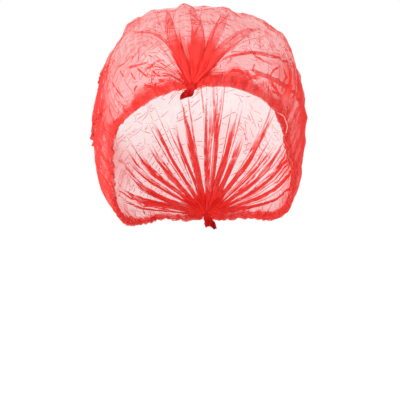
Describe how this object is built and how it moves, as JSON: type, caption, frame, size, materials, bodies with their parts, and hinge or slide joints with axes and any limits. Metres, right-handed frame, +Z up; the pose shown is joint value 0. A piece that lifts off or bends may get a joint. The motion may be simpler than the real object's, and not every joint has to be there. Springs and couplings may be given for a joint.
{
  "type": "disposable hairnet",
  "caption": "Pleated non-woven hairnet in its worn form, with welded ends at forehead and nape and a gathered elastic hem along each side.",
  "frame": {"origin": "where the top of the head touches the inside of the crown", "axes": "+Z up, -Y to the forehead, +X to the wearer's left"},
  "size_m": [0.1729, 0.2032, 0.1811],
  "materials": {
    "pleated_cloth": "thin matt non-woven",
    "gathered_cloth": "thin matt non-woven, gathered",
    "welded_cloth": "welded layers, slightly glossy",
    "elastic_thread": "covered elastic thread"
  },
  "bodies": {
    "root": {"crown": "pleated_cloth", "hem_right": "gathered_cloth", "hem_left": "gathered_cloth", "elastic_right": "elastic_thread", "elastic_left": "elastic_thread", "front_seal": "welded_cloth", "back_seal": "welded_cloth"}
  },
  "joints": []
}
